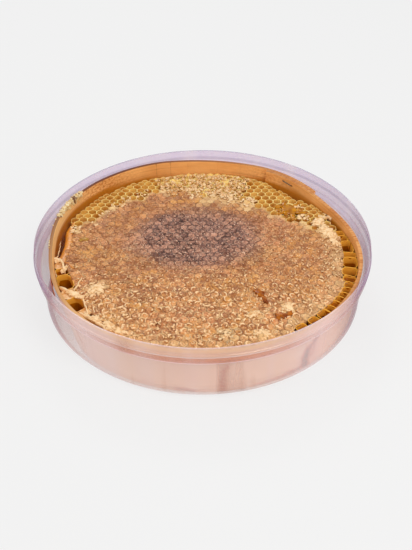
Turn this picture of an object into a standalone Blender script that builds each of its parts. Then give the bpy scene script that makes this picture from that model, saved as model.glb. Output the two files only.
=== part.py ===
# Round honeycomb grown inside a bent wooden hoop, standing in a shallow clear tub without its lid.
# Metres, +Z up. The origin is the centre of the tub's base, on the surface that it stands on.
import math
import random

import bmesh
import bpy
from mathutils import Matrix, Vector, noise

MM = 0.001
CLEARANCE = 0.3 * MM

# clear tub, a turned shell
TUB_RADIUS = 115 * MM
TUB_HEIGHT = 45 * MM
TUB_WALL = 0.95 * MM
TUB_FLOOR = 1.1 * MM
TUB_TURN_STEPS = 64
RIM_BAND = 13.5 * MM
RIM_STEP = 3.4 * MM
RIM_INSET = 0.9 * MM
RIM_SLOPE = 0.6 * MM
BEAD_DROP = 5.8 * MM
BEAD_HEIGHT = 2.0 * MM
WALL_TAPER = 1.5 * MM
FOOT_FILLET = 2.9 * MM

# wooden hoop, one strip that overlaps itself at the back right
HOOP_RADIUS = 110.6 * MM
HOOP_HEIGHT = 36 * MM
STRIP = 2.4 * MM
HOOP_LIFT = 1.6 * MM
HOOP_TILT = 2.4 * MM
TILT_TOWARDS = 130
HOOP_LEAN = 3.4 * MM
INNER_END = 62
OUTER_END = 37
LAP_FADES_BY = -30
HOOP_STEPS = 96
# places where the hoop is pressed in: direction in degrees, depth, half-width in degrees
HOOP_DENTS = ((28, 5.5 * MM, 25), (85, 3.2 * MM, 22), (187, 5.7 * MM, 26))
# the front left leans further in at its foot
FOOT_LEAN = (208, 4.0 * MM, 12)

# splinter that has sprung away from the hoop's outer face at the left
SPLINTER_START = 196
SPLINTER_END = 209
SPLINTER_HEIGHT = 12 * MM
SPLINTER_THICK = 1.0 * MM
SPLINTER_SPREAD = 1.4 * MM
SPLINTER_ROOT = 1.4 * MM  # how far inside the outer face it starts
SPLINTER_BELOW_TOP = 1.5 * MM
SPLINTER_TIP_HEIGHT = 0.4  # share of its height and of its thickness left at the tip
SPLINTER_TIP_THICK = 0.5

# scraps of pale wax left on the hoop's top edge: direction in degrees, half-length, half-height
WAX_SCRAPS = (
    (163, 3.0 * MM, 1.2 * MM),
    (157, 4.2 * MM, 2.0 * MM),
    (150, 5.2 * MM, 2.6 * MM),
    (181, 2.4 * MM, 0.9 * MM),
)
SCRAP_INSET = 0.6 * STRIP
SCRAP_HALF_WIDTH = 0.8 * STRIP
SCRAP_LUMPS = 0.25

# comb of hexagonal cells, rows along X
CELL_PITCH = 5.35 * MM
CELL_GROWTH = 5.5  # cells widen towards the margin: radius gains this times its cube
COMB_RADIUS = 101.5 * MM
COMB_TOP = 33.2 * MM
COMB_SWELL = 1.2 * MM
COMB_FOOT = TUB_FLOOR + CLEARANCE
FOOT_SCALE = 0.935
CELL_REACH = 0.62 * CELL_PITCH  # room that a cell at the edge needs round its centre
CAP_RISE = 0.55 * MM
CAP_UNEVEN = 0.15 * MM
CAP_WAVES = 0.8 * MM
CAP_WAVE_SCALE = 30
CELL_WALL = 0.55 * MM
DEPTH_SPREAD = (0.7, 1.15)
HOOP_GAP = 0.9 * MM
# the comb falls away at its back margin
BACK_DROP = 4.2 * MM
BACK_DROP_WIDTH = 13 * MM
BACK_DROP_HALF_ANGLE = 70

# margins of open cells: direction in degrees, half-width in degrees, how far in they reach, depth
OPEN_MARGINS = ((137, 25, 14 * MM, 7 * MM), (88, 26, 27 * MM, 3 * MM), (43, 21, 17 * MM, 7 * MM))
# the right and front margins run on until they meet the hoop
JOINED_MARGINS = ((-23, 32), (-90, 36))
SIDE_ROW = 5.2 * MM
# wax bridges that reach the hoop at the left: direction and half-width in degrees
BRIDGES = ((192, 3.4), (210, 3.0), (226, 5.0))
# hollows in the comb's outline, and one bulge: direction in degrees, depth, half-width in degrees
OUTLINE_DENTS = ((47, 7.0 * MM, 13), (178, 5.5 * MM, 12), (150, -2.0 * MM, 13))
# torn place that shows honey
TORN_PLACE = Vector((0.064, 0.046))
TORN_HALF_SIZE = (11 * MM, 7.5 * MM)
TORN_DEPTH = 3.5 * MM

# staple across the lap, on the hoop's inner face
STAPLE_ANGLE = 52.5
STAPLE_SIZE = (9.5 * MM, 0.6 * MM, 0.9 * MM)
STAPLE_BEVEL = 0.15 * MM
STAPLE_BELOW_TOP = 4.5 * MM
STAPLE_SLOPE = -14


def swell(angle, centre, half_width):
    """Smooth bump of height 1 round a direction, all in degrees."""
    apart = (angle - centre + 180) % 360 - 180
    return math.exp(-(apart / half_width) ** 2)


def smooth_step(value):
    value = min(max(value, 0.0), 1.0)
    return value * value * (3 - 2 * value)


def in_sector(angle, centre, half_width):
    return abs((angle - centre + 180) % 360 - 180) <= half_width


def polar(angle, radius, height):
    turn = math.radians(angle)
    return Vector((radius * math.cos(turn), radius * math.sin(turn), height))


def hoop_top_radius(angle):
    """Outer face of the hoop's outermost layer, at its top edge."""
    radius = HOOP_RADIUS
    for centre, depth, half_width in HOOP_DENTS:
        radius -= depth * swell(angle, centre, half_width)
    return radius


def hoop_lean(angle):
    centre, depth, half_width = FOOT_LEAN
    return HOOP_LEAN + depth * swell(angle, centre, half_width)


def hoop_bottom(angle):
    return HOOP_LIFT + HOOP_TILT * 0.5 * (1 + math.cos(math.radians(angle - TILT_TOWARDS)))


def lap_inset(angle):
    """How far the strip lies inside the outer layer, for an angle on the strip from its inner end down."""
    if angle >= OUTER_END:
        return STRIP + CLEARANCE
    fade = smooth_step((angle - LAP_FADES_BY) / (OUTER_END - LAP_FADES_BY))
    return (STRIP + CLEARANCE) * fade


def hoop_inner_radius(angle, height):
    """Inner face of the hoop at a height, where the lap counts as two layers."""
    angle = (angle + 180) % 360 - 180
    inset = lap_inset(angle) if angle <= INNER_END else 0
    drop = (hoop_bottom(angle) + HOOP_HEIGHT - height) / HOOP_HEIGHT
    return hoop_top_radius(angle) - hoop_lean(angle) * drop - inset - STRIP


def make_material(name, colour, roughness, metallic=0.0, alpha=1.0):
    material = bpy.data.materials.new(name)
    material.use_nodes = True
    shader = material.node_tree.nodes["Principled BSDF"]
    shader.inputs["Base Color"].default_value = (*colour, 1.0)
    shader.inputs["Roughness"].default_value = roughness
    shader.inputs["Metallic"].default_value = metallic
    shader.inputs["Alpha"].default_value = alpha
    return material


def new_object(name, mesh, collection, material):
    obj = bpy.data.objects.new(name, mesh)
    collection.objects.link(obj)
    mesh.materials.append(material)
    return obj


def finish_mesh(name, bm):
    bmesh.ops.recalc_face_normals(bm, faces=bm.faces)
    mesh = bpy.data.meshes.new(name)
    bm.to_mesh(mesh)
    bm.free()
    return mesh


def apply_modifiers(obj):
    """Gives the object its evaluated mesh in place of its live modifiers."""
    graph = bpy.context.evaluated_depsgraph_get()
    mesh = bpy.data.meshes.new_from_object(obj.evaluated_get(graph))
    obj.modifiers.clear()
    obj.data = mesh


def tub_profile():
    """Section of the tub from the middle of its inner floor, over the rim, down to the base."""
    outer = TUB_RADIUS - RIM_INSET
    step_height = TUB_HEIGHT - RIM_BAND
    wall_top = TUB_RADIUS - RIM_STEP
    wall_foot = wall_top - WALL_TAPER
    bead_top = TUB_HEIGHT - BEAD_DROP
    bead_foot = bead_top - BEAD_HEIGHT
    inside = [
        (0, TUB_FLOOR),
        (wall_foot - FOOT_FILLET, TUB_FLOOR),
        (wall_foot - TUB_WALL, FOOT_FILLET),
        (wall_top - TUB_WALL, step_height),
        (outer - TUB_WALL, step_height + 2 * RIM_SLOPE),
        (outer - TUB_WALL, TUB_HEIGHT),
    ]
    outside = [
        (outer, TUB_HEIGHT),
        (outer, bead_top + RIM_SLOPE),
        (TUB_RADIUS, bead_top),
        (outer, bead_foot),
        (outer, step_height + RIM_SLOPE),
        (wall_top, step_height - RIM_SLOPE),
        (wall_foot, FOOT_FILLET),
        (wall_foot - FOOT_FILLET, 0),
        (0, 0),
    ]
    return inside + outside


def make_tub(collection):
    bm = bmesh.new()
    rail = [bm.verts.new((radius, 0, height)) for radius, height in tub_profile()]
    for above, below in zip(rail, rail[1:]):
        bm.edges.new((above, below))
    mesh = bpy.data.meshes.new("clear_tub")
    bm.to_mesh(mesh)
    bm.free()
    plastic = make_material("clear_plastic", (0.88, 0.85, 0.92), 0.08, alpha=0.35)
    tub = new_object("clear_tub", mesh, collection, plastic)
    turn = tub.modifiers.new("turn", "SCREW")
    turn.steps = TUB_TURN_STEPS
    turn.render_steps = TUB_TURN_STEPS
    turn.use_merge_vertices = True
    turn.merge_threshold = 0.01 * MM
    return tub


def bend_strip():
    """The hoop's outer surface, bent from a flat grid whose X runs along the strip and Y up it."""
    bm = bmesh.new()
    bmesh.ops.create_grid(bm, x_segments=HOOP_STEPS, y_segments=1, size=1.0)
    turn = 360 + INNER_END - OUTER_END
    for vert in bm.verts:
        angle = INNER_END - turn * (vert.co.x + 1) / 2
        up = (vert.co.y + 1) / 2
        radius = hoop_top_radius(angle) - lap_inset(angle) - hoop_lean(angle) * (1 - up)
        vert.co = polar(angle, radius, hoop_bottom(angle) + HOOP_HEIGHT * up)
    mesh = bpy.data.meshes.new("wood_hoop")
    bm.to_mesh(mesh)
    bm.free()
    return mesh


def make_splinter(collection, material):
    """A thin blade that starts inside the strip and springs away from it."""
    bm = bmesh.new()
    bmesh.ops.create_cube(bm, size=1.0)
    for vert in bm.verts:
        along = vert.co.x + 0.5
        angle = SPLINTER_START + (SPLINTER_END - SPLINTER_START) * along
        top = hoop_bottom(angle) + HOOP_HEIGHT - SPLINTER_BELOW_TOP
        height = top - SPLINTER_HEIGHT * (0.5 - vert.co.z) * (1 - (1 - SPLINTER_TIP_HEIGHT) * along)
        thick = SPLINTER_THICK * (1 - (1 - SPLINTER_TIP_THICK) * along)
        reach = SPLINTER_SPREAD + SPLINTER_ROOT + CLEARANCE
        radius = hoop_top_radius(angle) - SPLINTER_ROOT + reach * along
        vert.co = polar(angle, radius + thick * vert.co.y, height)
    return new_object("splinter", finish_mesh("splinter", bm), collection, material)


def make_scrap(collection, material, centre, half_length, half_height):
    """A lump of wax that sits astride the strip's top edge."""
    bm = bmesh.new()
    bmesh.ops.create_icosphere(bm, subdivisions=1, radius=1.0)
    top = hoop_bottom(centre) + HOOP_HEIGHT
    for vert in bm.verts:
        lump = 1 + SCRAP_LUMPS * noise.noise(vert.co * 2 + Vector((centre, 0, 0)))
        angle = centre + math.degrees(half_length / HOOP_RADIUS) * vert.co.x * lump
        radius = hoop_top_radius(centre) - SCRAP_INSET + SCRAP_HALF_WIDTH * vert.co.y * lump
        vert.co = polar(angle, radius, top + half_height * vert.co.z * lump)
    return new_object("scrap", finish_mesh("scrap", bm), collection, material)


def make_hoop(collection, cutters):
    wood = make_material("bent_wood", (0.62, 0.32, 0.12), 0.6)
    hoop = new_object("wood_hoop", bend_strip(), collection, wood)
    wall = hoop.modifiers.new("wall", "SOLIDIFY")
    wall.thickness = STRIP
    wall.offset = 1.0
    wall.use_even_offset = True
    extras = [make_splinter(cutters, wood)]
    for centre, half_length, half_height in WAX_SCRAPS:
        extras.append(make_scrap(cutters, wood, centre, half_length, half_height))
    join = hoop.modifiers.new("join", "BOOLEAN")
    join.operation = "UNION"
    join.operand_type = "COLLECTION"
    join.collection = cutters
    bpy.context.view_layer.update()
    apply_modifiers(hoop)
    for extra in extras:
        bpy.data.objects.remove(extra)
    return hoop


def comb_radius(angle):
    """Outline of the comb's top."""
    nearest = hoop_inner_radius(angle, COMB_TOP) - HOOP_GAP
    radius = COMB_RADIUS
    for centre, depth, half_width in OUTLINE_DENTS:
        radius -= depth * swell(angle, centre, half_width)
    sectors = JOINED_MARGINS + BRIDGES
    if any(in_sector(angle, centre, half_width) for centre, half_width in sectors):
        radius = nearest
    return min(radius, nearest)


def cell_centres():
    """Rows of cells along X, kept where the widened cell lies inside the outline."""
    row_pitch = CELL_PITCH * math.sqrt(3) / 2
    reach = int(COMB_RADIUS / CELL_PITCH) + 4
    centres = []
    for row in range(-reach - 3, reach + 4):
        for column in range(-reach, reach + 1):
            flat = Vector((CELL_PITCH * (column + (row % 2) / 2), row_pitch * row))
            radius = widen(flat).length + CELL_REACH
            angle = math.degrees(math.atan2(flat.y, flat.x))
            if radius < comb_radius(angle):
                centres.append(flat)
    return centres


def widen(flat):
    return flat * (1 + CELL_GROWTH * flat.length_squared)


def comb_height(place):
    """Level of the caps: swollen in the middle, falling away at the back margin."""
    angle = math.degrees(math.atan2(place.y, place.x))
    inside = comb_radius(angle) - place.length
    near_back = swell(angle, 90, BACK_DROP_HALF_ANGLE)
    drop = BACK_DROP * (1 - smooth_step(inside / BACK_DROP_WIDTH)) * near_back
    rise = COMB_SWELL * (1 - place.length_squared / COMB_RADIUS ** 2)
    waves = CAP_WAVES * noise.noise(Vector((place.x, place.y, 0)) * CAP_WAVE_SCALE)
    return COMB_TOP + rise - drop + waves


def cell_depth(place):
    """Depth of an open cell at a place, or nothing for a capped one."""
    angle = math.degrees(math.atan2(place.y, place.x))
    inside = comb_radius(angle) - place.length
    away = place - TORN_PLACE
    if Vector((away.x / TORN_HALF_SIZE[0], away.y / TORN_HALF_SIZE[1])).length < 1:
        return TORN_DEPTH
    for centre, half_width, reach, depth in OPEN_MARGINS:
        apart = (angle - centre + 180) % 360 - 180
        if abs(apart) < half_width and inside < reach * math.sqrt(1 - (apart / half_width) ** 2):
            return depth
    if inside < SIDE_ROW and in_sector(angle, *JOINED_MARGINS[0]):
        return OPEN_MARGINS[0][3]
    return None


def cell_sheet():
    """Flat sheet of hexagons, one face for each cell, with a point towards +Y and -Y."""
    bm = bmesh.new()
    corner_radius = CELL_PITCH / math.sqrt(3)
    for centre in cell_centres():
        place = Matrix.Translation((centre.x, centre.y, 0))
        bmesh.ops.create_circle(bm, cap_ends=True, segments=6, radius=corner_radius, matrix=place)
    bmesh.ops.remove_doubles(bm, verts=bm.verts, dist=0.1 * MM)
    return bm


def drop_skirt(bm):
    """Walls from the sheet's edge down to a flat foot, which is closed."""
    rim = [edge for edge in bm.edges if edge.is_boundary]
    skirt = bmesh.ops.extrude_edge_only(bm, edges=rim)["geom"]
    for vert in (item for item in skirt if isinstance(item, bmesh.types.BMVert)):
        vert.co = Vector((vert.co.x * FOOT_SCALE, vert.co.y * FOOT_SCALE, COMB_FOOT))
    foot = [item for item in skirt if isinstance(item, bmesh.types.BMEdge) and item.is_boundary]
    bmesh.ops.edgeloop_fill(bm, edges=foot)


def open_cells(bm, cells):
    """Sinks each cell to its own depth and leaves a thin wall round it."""
    depths = {cell: cell_depth(cell.calc_center_median().xy) for cell in cells}
    bmesh.ops.inset_individual(bm, faces=cells, thickness=CELL_WALL, use_even_offset=True)
    sunk = bmesh.ops.extrude_discrete_faces(bm, faces=cells)["faces"]
    for pit, depth in zip(sunk, depths.values()):
        level = pit.calc_center_median().z - depth * random.uniform(*DEPTH_SPREAD)
        for vert in pit.verts:
            vert.co.z = level


def make_comb(collection):
    wax = make_material("capped_comb", (0.53, 0.27, 0.12), 0.35)
    bm = cell_sheet()
    for vert in bm.verts:
        place = widen(vert.co.xy)
        height = comb_height(place) + random.uniform(-CAP_UNEVEN, CAP_UNEVEN)
        vert.co = Vector((place.x, place.y, height))
    cells = bm.faces[:]
    drop_skirt(bm)
    opened = [cell for cell in cells if cell_depth(cell.calc_center_median().xy) is not None]
    capped = [cell for cell in cells if cell not in set(opened)]
    open_cells(bm, opened)
    bmesh.ops.recalc_face_normals(bm, faces=bm.faces)
    bmesh.ops.poke(bm, faces=capped, offset=CAP_RISE)
    mesh = finish_mesh("honeycomb", bm)
    return new_object("honeycomb", mesh, collection, wax)


def make_staple(collection):
    steel = make_material("staple_steel", (0.22, 0.19, 0.17), 0.45, metallic=0.9)
    bm = bmesh.new()
    bmesh.ops.create_cube(bm, size=1.0)
    bmesh.ops.scale(bm, verts=bm.verts, vec=STAPLE_SIZE)
    half = STAPLE_SIZE[0] / 2
    corners = [edge for edge in bm.edges if abs(edge.verts[0].co.x - edge.verts[1].co.x) > half]
    bmesh.ops.bevel(bm, geom=corners, offset=STAPLE_BEVEL, segments=1, profile=0.5, affect="EDGES")
    height = hoop_bottom(STAPLE_ANGLE) + HOOP_HEIGHT - STAPLE_BELOW_TOP
    radius = hoop_inner_radius(STAPLE_ANGLE, height) - CLEARANCE - STAPLE_SIZE[1]
    place = Matrix.Translation(polar(STAPLE_ANGLE, radius, height))
    facing = Matrix.Rotation(math.radians(STAPLE_ANGLE - 90), 4, "Z")
    slope = Matrix.Rotation(math.radians(-STAPLE_SLOPE), 4, "Y")
    bmesh.ops.transform(bm, matrix=place @ facing @ slope, verts=bm.verts)
    return new_object("staple", finish_mesh("staple", bm), collection, steel)


def main():
    for obj in list(bpy.data.objects):
        bpy.data.objects.remove(obj)
    random.seed(7)
    parts = bpy.data.collections.new("honeycomb_in_tub")
    joined = bpy.data.collections.new("joined")
    bpy.context.scene.collection.children.link(parts)
    bpy.context.scene.collection.children.link(joined)
    make_tub(parts)
    make_hoop(parts, joined)
    make_comb(parts)
    make_staple(parts)


main()
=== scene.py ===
import math
import random

import bmesh
import bpy
from mathutils import Matrix, Vector, noise


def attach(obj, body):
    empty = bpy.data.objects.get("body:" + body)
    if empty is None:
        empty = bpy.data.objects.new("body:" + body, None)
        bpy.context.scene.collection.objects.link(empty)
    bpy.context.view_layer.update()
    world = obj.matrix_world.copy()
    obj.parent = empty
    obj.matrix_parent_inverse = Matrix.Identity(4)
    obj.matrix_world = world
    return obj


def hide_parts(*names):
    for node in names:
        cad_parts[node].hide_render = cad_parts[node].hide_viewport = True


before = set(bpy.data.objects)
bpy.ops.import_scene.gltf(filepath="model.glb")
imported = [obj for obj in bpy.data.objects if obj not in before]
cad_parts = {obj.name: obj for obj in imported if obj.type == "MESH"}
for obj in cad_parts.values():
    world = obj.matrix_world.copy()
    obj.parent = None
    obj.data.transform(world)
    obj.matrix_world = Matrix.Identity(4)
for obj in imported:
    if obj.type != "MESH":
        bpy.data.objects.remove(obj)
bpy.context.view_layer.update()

random.seed(11)
mm = 0.001


# shapes shared by the pieces, as the solids have them

hoopShape = {
    "radius": 110.6 * mm,
    "height": 36 * mm,
    "strip": 2.4 * mm,
    "lift": 1.6 * mm,
    "tilt": 2.4 * mm,
    "tiltTowards": 130,
    "lean": 3.4 * mm,
    "lapGap": 0.3 * mm,
    "innerEnd": 62,
    "outerEnd": 37,
    "lapFadesBy": -30,
    "dents": ((28, 5.5 * mm, 25), (85, 3.2 * mm, 22), (187, 5.7 * mm, 26)),  # direction, depth, half-width
    "footLean": ((208, 4.0 * mm, 12),),
}

combShape = {
    "pitch": 5.35 * mm,
    "growth": 5.5,  # cells widen towards the margin
    "radius": 101.5 * mm,
    "top": 33.2 * mm,
    "swell": 1.2 * mm,
    "foot": 1.4 * mm,
    "footScale": 0.935,
    "hoopGap": 0.9 * mm,
    "backDrop": 4.2 * mm,
    "backDropWidth": 7 * mm,
    "dents": ((47, 7.0 * mm, 13), (178, 5.5 * mm, 12), (150, -2.0 * mm, 13)),
    "joined": ((-23, 32), (-90, 36)),
    # where golden cells lie between comb and hoop: direction and distance in mm at which they begin
    "cellRows": (
        ((-56.5, 100.5), (-41, 100.5), (-36, 101), (-28, 102), (-22, 101.5), (-18, 98), (-14, 97),
         (12.6, 97)),
        ((-170, 96), (-166, 94), (-160, 93.2), (-152, 93.5), (-146, 95), (-135.4, 97)),
    ),
}


def swell(angle, centre, halfWidth):
    apart = (angle - centre + 180) % 360 - 180
    return math.exp(-(apart / halfWidth) ** 2)


def smoothStep(value):
    value = min(max(value, 0.0), 1.0)
    return value * value * (3 - 2 * value)


def inSector(angle, centre, halfWidth):
    return abs((angle - centre + 180) % 360 - 180) <= halfWidth


def polar(angle, radius, height):
    turn = math.radians(angle)
    return Vector((radius * math.cos(turn), radius * math.sin(turn), height))


def angleOf(place):
    return math.degrees(math.atan2(place.y, place.x))


def swellsAt(swells, angle):
    # each one: direction, size, half-width
    return sum(size * swell(angle, centre, halfWidth) for centre, size, halfWidth in swells)


def distanceOn(row, angle):
    # the distance that a row of directions and distances gives between its points
    for (first, near), (last, far) in zip(row, row[1:]):
        if angle <= last:
            return (near + (far - near) * (angle - first) / (last - first)) * mm


def hoopTopRadius(angle):
    return hoopShape["radius"] - swellsAt(hoopShape["dents"], angle)


def hoopLean(angle):
    return hoopShape["lean"] + swellsAt(hoopShape["footLean"], angle)


def hoopBottom(angle):
    turn = math.radians(angle - hoopShape["tiltTowards"])
    return hoopShape["lift"] + hoopShape["tilt"] * 0.5 * (1 + math.cos(turn))


def lapInset(angle):
    layer = hoopShape["strip"] + hoopShape["lapGap"]
    if angle >= hoopShape["outerEnd"]:
        return layer
    span = hoopShape["outerEnd"] - hoopShape["lapFadesBy"]
    return layer * smoothStep((angle - hoopShape["lapFadesBy"]) / span)


def hoopInnerRadius(angle, height):
    angle = (angle + 180) % 360 - 180
    inset = lapInset(angle) if angle <= hoopShape["innerEnd"] else 0
    drop = (hoopBottom(angle) + hoopShape["height"] - height) / hoopShape["height"]
    return hoopTopRadius(angle) - hoopLean(angle) * drop - inset - hoopShape["strip"]


def nearestCells(angle):
    # distance at which the golden cells begin, or None where there are none
    angle = (angle + 180) % 360 - 180
    for row in combShape["cellRows"]:
        if row[0][0] <= angle <= row[-1][0]:
            return distanceOn(row, angle)
    return None


def combRadius(angle):
    nearest = hoopInnerRadius(angle, combShape["top"]) - combShape["hoopGap"]
    radius = combShape["radius"] - swellsAt(combShape["dents"], angle)
    if any(inSector(angle, centre, halfWidth) for centre, halfWidth in combShape["joined"]):
        radius = nearest
    return min(radius, nearest, nearestCells(angle) or radius)


def insideEdge(place):
    return combRadius(angleOf(place)) - place.length


def combHeight(place):
    edge = 1 - smoothStep(insideEdge(place) / combShape["backDropWidth"])
    drop = combShape["backDrop"] * edge * swell(angleOf(place), 90, 70)
    rise = combShape["swell"] * (1 - place.length_squared / combShape["radius"] ** 2)
    waves = 0.8 * mm * flatNoise(place, 30)
    return combShape["top"] + rise - drop + waves


def widen(flat):
    return flat * (1 + combShape["growth"] * flat.length_squared)


# helpers for meshes and materials

def addToScene(name, data):
    thing = bpy.data.objects.new(name, data)
    bpy.context.scene.collection.objects.link(thing)
    return thing


def newObject(name, bm, materials):
    mesh = bpy.data.meshes.new(name)
    bm.to_mesh(mesh)
    bm.free()
    for material in materials:
        mesh.materials.append(material)
    return addToScene(name, mesh)


def newPiece(name, bm, materials, replaced=None, sharp=180):
    # normals point outwards, also where the shells are many
    bmesh.ops.recalc_face_normals(bm, faces=bm.faces)
    if bm.calc_volume(signed=True) < 0:
        bmesh.ops.reverse_faces(bm, faces=bm.faces)
    piece = newObject(name, bm, materials)
    if sharp:
        piece.data.shade_smooth()
    if 0 < sharp < 180:
        piece.data.set_sharp_from_angle(angle=math.radians(sharp))
    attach(piece, "root")
    if replaced:
        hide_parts(replaced)


def layersOf(bm, names):
    return {name: bm.verts.layers.float.new(name) for name in names}


def put(vert, layers, **values):
    for name, value in values.items():
        vert[layers[name]] = value


def newVerts(made):
    return [item for item in made["geom"] if isinstance(item, bmesh.types.BMVert)]


def openEdges(made):
    return [item for item in made["geom"] if isinstance(item, bmesh.types.BMEdge) and item.is_boundary]


def edgesAlongX(bm, shortest):
    return [edge for edge in bm.edges if abs(edge.verts[0].co.x - edge.verts[1].co.x) > shortest]


def ball(bm, subdivisions):
    return bmesh.ops.create_icosphere(bm, subdivisions=subdivisions, radius=1.0)["verts"]


def lying(place, level, turn):
    return Matrix.Translation((place.x, place.y, level)) @ Matrix.Rotation(math.radians(turn), 4, "Z")


def noiseAt(place, scale, x=0, y=0, z=0):
    return noise.noise(place * scale + Vector((x, y, z)))


def flatNoise(place, scale, layer=0):
    return noise.noise(Vector((place.x, place.y, layer)) * scale)


def srgb(red, green, blue):
    def linear(value):
        value /= 255
        return value / 12.92 if value <= 0.04045 else ((value + 0.055) / 1.055) ** 2.4
    return (linear(red), linear(green), linear(blue), 1.0)


class Look:
    # a material: every input takes a socket, a number, an attribute's name, or a colour from 0 to 255

    def __init__(self, name, roughness, coat=0.0, coatRoughness=0.1, specular=0.5):
        self.material = bpy.data.materials.new(name)
        self.material.use_nodes = True
        self.shader = self.material.node_tree.nodes["Principled BSDF"]
        self.set("Roughness", roughness)
        self.set("Coat Weight", coat)
        self.set("Coat Roughness", coatRoughness)
        self.set("Specular IOR Level", specular)

    def set(self, name, value):
        self.feed(self.shader.inputs[name], value)

    def feed(self, socket, value):
        if isinstance(value, str):
            value = self.node("ShaderNodeAttribute", "Fac", {}, attribute_name=value)
        if isinstance(value, bpy.types.NodeSocket):
            self.material.node_tree.links.new(value, socket)
        else:
            socket.default_value = srgb(*value) if socket.type == "RGBA" else value

    def node(self, kind, output, inputs, **settings):
        node = self.material.node_tree.nodes.new(kind)
        for name, value in settings.items():
            setattr(node, name, value)
        for name, value in inputs.items():
            self.feed(node.inputs[name], value)
        return node.outputs[output]

    def place(self):
        return self.node("ShaderNodeTexCoord", "Object", {})

    def noise(self, scale, detail=3.0, stretch=(1, 1, 1), source=None):
        # noise on Object coordinates, or on the vector that is given
        place = {"Vector": source or self.place(), "Scale": stretch}
        place = self.node("ShaderNodeMapping", "Vector", place)
        return self.node("ShaderNodeTexNoise", "Fac", {"Vector": place, "Scale": scale, "Detail": detail})

    def mix(self, factor, first, second):
        return self.node("ShaderNodeMix", 2, {"Factor": factor, 6: first, 7: second}, data_type="RGBA")

    def paint(self, colour, *coats):
        # lays each coat over the colour by its factor
        for factor, coat in coats:
            colour = self.mix(factor, colour, coat)
        return colour

    def ramp(self, factor, low, high, first=0.0, second=1.0):
        # maps low..high of a field to first..second
        ends = {"Value": factor, "From Min": low, "From Max": high, "To Min": first, "To Max": second}
        return self.node("ShaderNodeMapRange", "Result", ends)

    def maths(self, operation, first, second=0.0):
        return self.node("ShaderNodeMath", "Value", {0: first, 1: second}, operation=operation)

    def add(self, first, second):
        return self.maths("ADD", first, second)

    def times(self, first, second):
        return self.maths("MULTIPLY", first, second)

    def finish(self, colour, relief=None, strength=0.0, distance=0.0):
        self.set("Base Color", colour)
        if relief:
            bump = {"Height": relief, "Strength": strength, "Distance": distance}
            self.set("Normal", self.node("ShaderNodeBump", "Normal", bump))
        return self.material


# clear tub

tub = {
    "radius": 115 * mm,
    "height": 45 * mm,
    "wall": 0.95 * mm,
    "floor": 1.1 * mm,
    "rimRadius": 114.1 * mm,
    "beadTop": 39.2 * mm,
    "beadFlat": 38.8 * mm,
    "beadFoot": 37.2 * mm,
    "stepHeight": 31.5 * mm,
    "wallTop": 111.6 * mm,
    "wallFoot": 110.1 * mm,
    "fillet": 2.9 * mm,
    "slope": 0.6 * mm,
    "corner": 0.8 * mm,
    "turnSteps": 192,
}

# each band of the tub: tint at the front, at the back and at the sides, and how dense it is. The change of
# tint from front to back and to the sides is painted reflection, and the near-white bead at the front is a
# painted highlight
tubFinishes = {
    "wall": ((255, 236, 226), (236, 218, 255), (158, 28, 56), 0.33),
    "rim": ((236, 204, 184), (228, 210, 250), (150, 84, 160), 0.38),
    "bead": ((250, 228, 222), (124, 112, 152), (92, 56, 76), 0.54),
    "low": ((218, 142, 112), (208, 186, 228), (120, 10, 46), 0.34),
    "step": ((248, 218, 224), (214, 202, 226), (176, 140, 164), 0.55),
    "lip": ((236, 206, 206), (176, 164, 194), (160, 120, 144), 0.55),
    "foot": ((232, 150, 126), (198, 170, 206), (184, 100, 150), 0.60),
}


def clearPlastic(name, front, back, side, density):
    look = Look("plastic" + name.capitalize(), 0.14)
    look.set("Alpha", density)
    look.set("IOR", 1.5)
    depth = look.node("ShaderNodeSeparateXYZ", "Y", {"Vector": look.place()})
    aside = look.maths("ABSOLUTE", look.node("ShaderNodeSeparateXYZ", "X", {"Vector": look.place()}))
    streaks = look.noise(60, 3.0, (1, 1, 0.05))
    beside = look.times(look.ramp(aside, 0.078, 0.106, 0.0, 0.95), look.ramp(depth, -0.086, -0.052))
    beside = look.times(beside, look.ramp(depth, 0.0, 0.040, 1.0, 0.15))
    # painted highlight on the wall at the front left and the front right
    paintedHighlight = look.times(look.ramp(aside, 0.045, 0.072), look.ramp(depth, -0.085, -0.060, 0.8, 0.0))
    # darker blotches at the front, pale streaks all round
    return look.finish(look.paint(
        front,
        (look.ramp(streaks, 0.30, 0.46, 0.55, 0.0), (176, 116, 92)),
        (look.ramp(depth, -0.055, 0.045), back),
        (paintedHighlight, (255, 236, 238)),
        (look.ramp(streaks, 0.50, 0.72, 0.0, 0.35), (252, 240, 244)),
        (beside, side),
    ))


def roundCorners(points, radius, segments=3):
    # replaces each inner corner of an open outline by a short arc
    rounded = [points[0]]
    for before, corner, after in zip(points, points[1:], points[2:]):
        reach = min(radius, (before - corner).length * 0.4, (after - corner).length * 0.4)
        start = corner + (before - corner).normalized() * reach
        end = corner + (after - corner).normalized() * reach
        for step in range(segments + 1):
            blend = step / segments
            rounded.append(start.lerp(corner, blend).lerp(corner.lerp(end, blend), blend))
    rounded.append(points[-1])
    return rounded


def tubProfile():
    rim, wall, slope, fillet = tub["rimRadius"], tub["wall"], tub["slope"], tub["fillet"]
    section = (
        (0, tub["floor"]),
        (tub["wallFoot"] - fillet, tub["floor"]),
        (tub["wallFoot"] - wall, fillet),
        (tub["wallTop"] - wall, tub["stepHeight"]),
        (rim - wall, tub["stepHeight"] + 2 * slope),
        (rim - wall, tub["height"]),
        (rim, tub["height"]),
        (rim, tub["beadTop"] + slope),
        (tub["radius"], tub["beadTop"]),
        (tub["radius"], tub["beadFlat"]),
        (rim, tub["beadFoot"]),
        (rim, tub["stepHeight"] + slope),
        (tub["wallTop"], tub["stepHeight"] - slope),
        (tub["wallFoot"], fillet),
        (tub["wallFoot"] - fillet, 0),
        (0, 0),
    )
    return roundCorners([Vector((radius, 0, height)) for radius, height in section], tub["corner"])


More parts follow.
